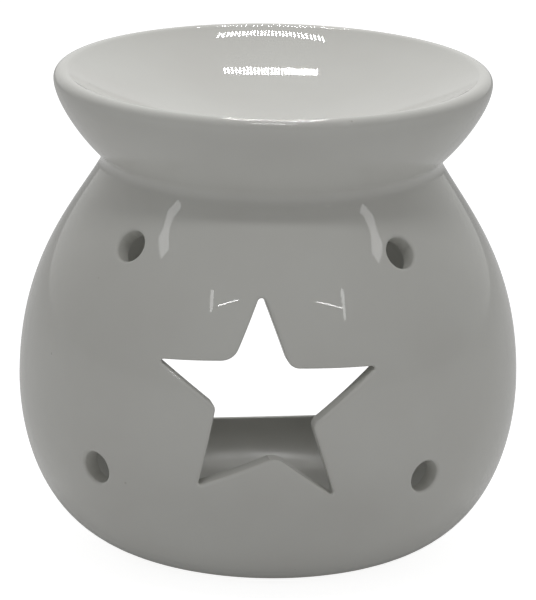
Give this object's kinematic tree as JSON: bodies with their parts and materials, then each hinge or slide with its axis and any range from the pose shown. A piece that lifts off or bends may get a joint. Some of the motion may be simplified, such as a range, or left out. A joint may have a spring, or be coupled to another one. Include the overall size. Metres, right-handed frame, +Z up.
{
  "type": "tealight holder",
  "caption": "Round glazed ceramic tealight burner with a star window, round vents, a rear doorway for the tealight and a shallow dish fused on top.",
  "frame": {"origin": "centre of the foot, on the surface that the burner stands on", "axes": "+Z up the axis of the pot, -Y towards the star window, +Y towards the doorway at the back"},
  "size_m": [0.1, 0.099, 0.0962],
  "materials": {
    "white_glaze": "glossy clear glaze over white slip-cast clay, softly rounded at every cut edge, with a bare foot ring"
  },
  "bodies": {
    "root": {"pot_body": "white_glaze", "oil_dish": "white_glaze", "neck_slip_seam": "white_glaze"}
  },
  "joints": []
}
